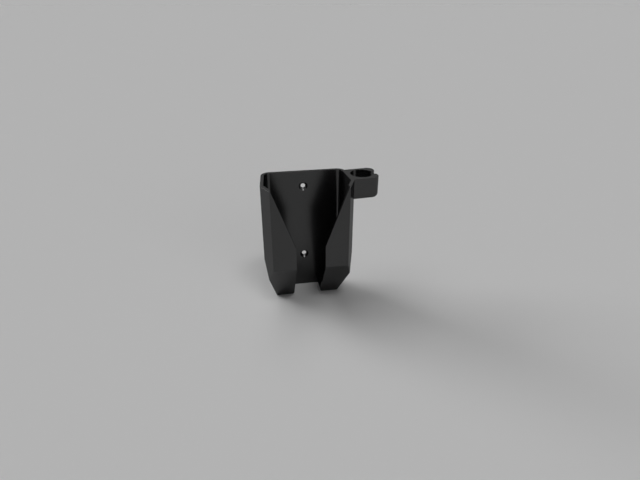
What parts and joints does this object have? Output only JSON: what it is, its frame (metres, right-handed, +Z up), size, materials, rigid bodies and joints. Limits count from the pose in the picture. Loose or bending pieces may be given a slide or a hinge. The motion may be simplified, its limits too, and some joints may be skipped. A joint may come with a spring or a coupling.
{
  "type": "charger wall mount",
  "caption": "Open-topped wall pocket for a battery charger, with a V cut and slot in front, a chamfered lower end, countersunk screw holes and a split plug ring at one side.",
  "frame": {"origin": "on the wall plane, half-way between the centres of the screw holes", "axes": "+Z up, towards the pocket's mouth; +Y out of the back face into the wall; +X to the side that carries the ring, seen from the front"},
  "size_m": [0.1125, 0.052, 0.129],
  "materials": {
    "black_plastic": "satin black with a fine moulded grain"
  },
  "bodies": {
    "root": {"holder": "black_plastic"}
  },
  "joints": []
}
